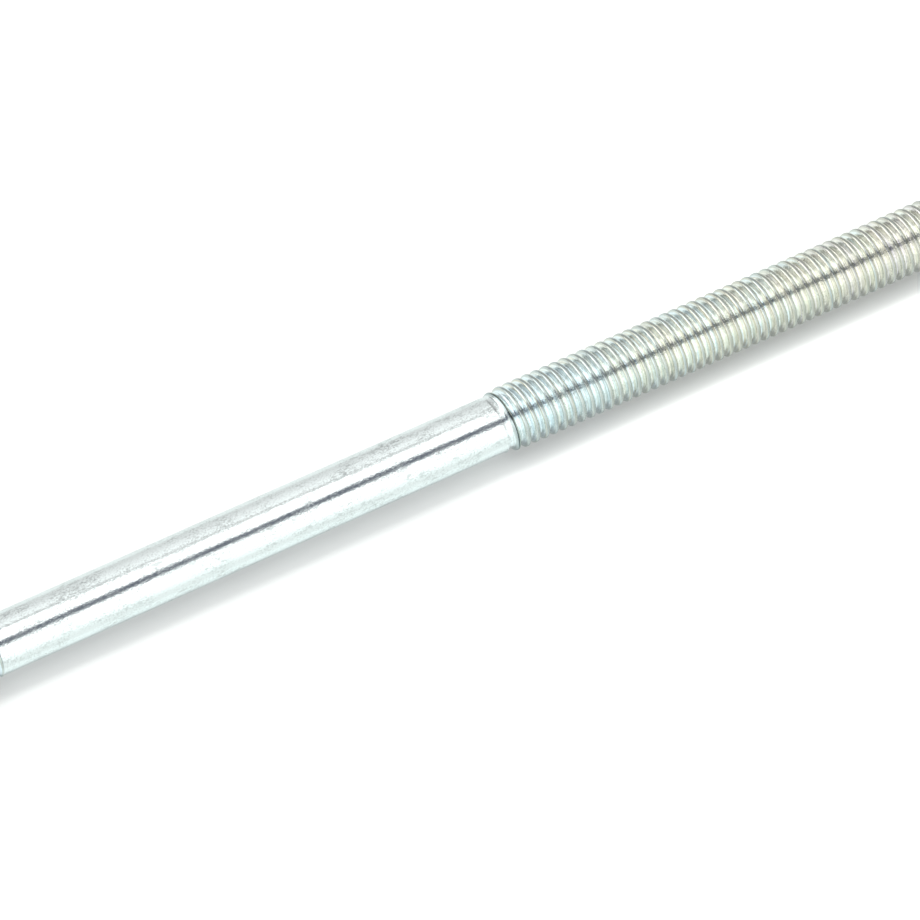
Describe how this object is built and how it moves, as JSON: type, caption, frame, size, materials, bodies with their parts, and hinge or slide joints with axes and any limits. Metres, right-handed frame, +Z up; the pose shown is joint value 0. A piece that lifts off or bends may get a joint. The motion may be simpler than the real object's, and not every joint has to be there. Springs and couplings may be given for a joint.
{
  "type": "double-ended male connector bolt",
  "caption": "Zinc-plated steel bolt with a plain round shank and the same right-hand male thread on both ends, for joining two tapped parts.",
  "frame": {"origin": "middle of the bolt, on its axis", "axes": "+X along the bolt's axis, +Z up as it lies; both ends are alike"},
  "size_m": [0.2, 0.0078, 0.0078],
  "materials": {
    "zinc_plated_steel": "bright zinc plate with a faint blue and yellow passivation tint, smooth but lightly scuffed"
  },
  "bodies": {
    "root": {"bolt": "zinc_plated_steel"}
  },
  "joints": []
}
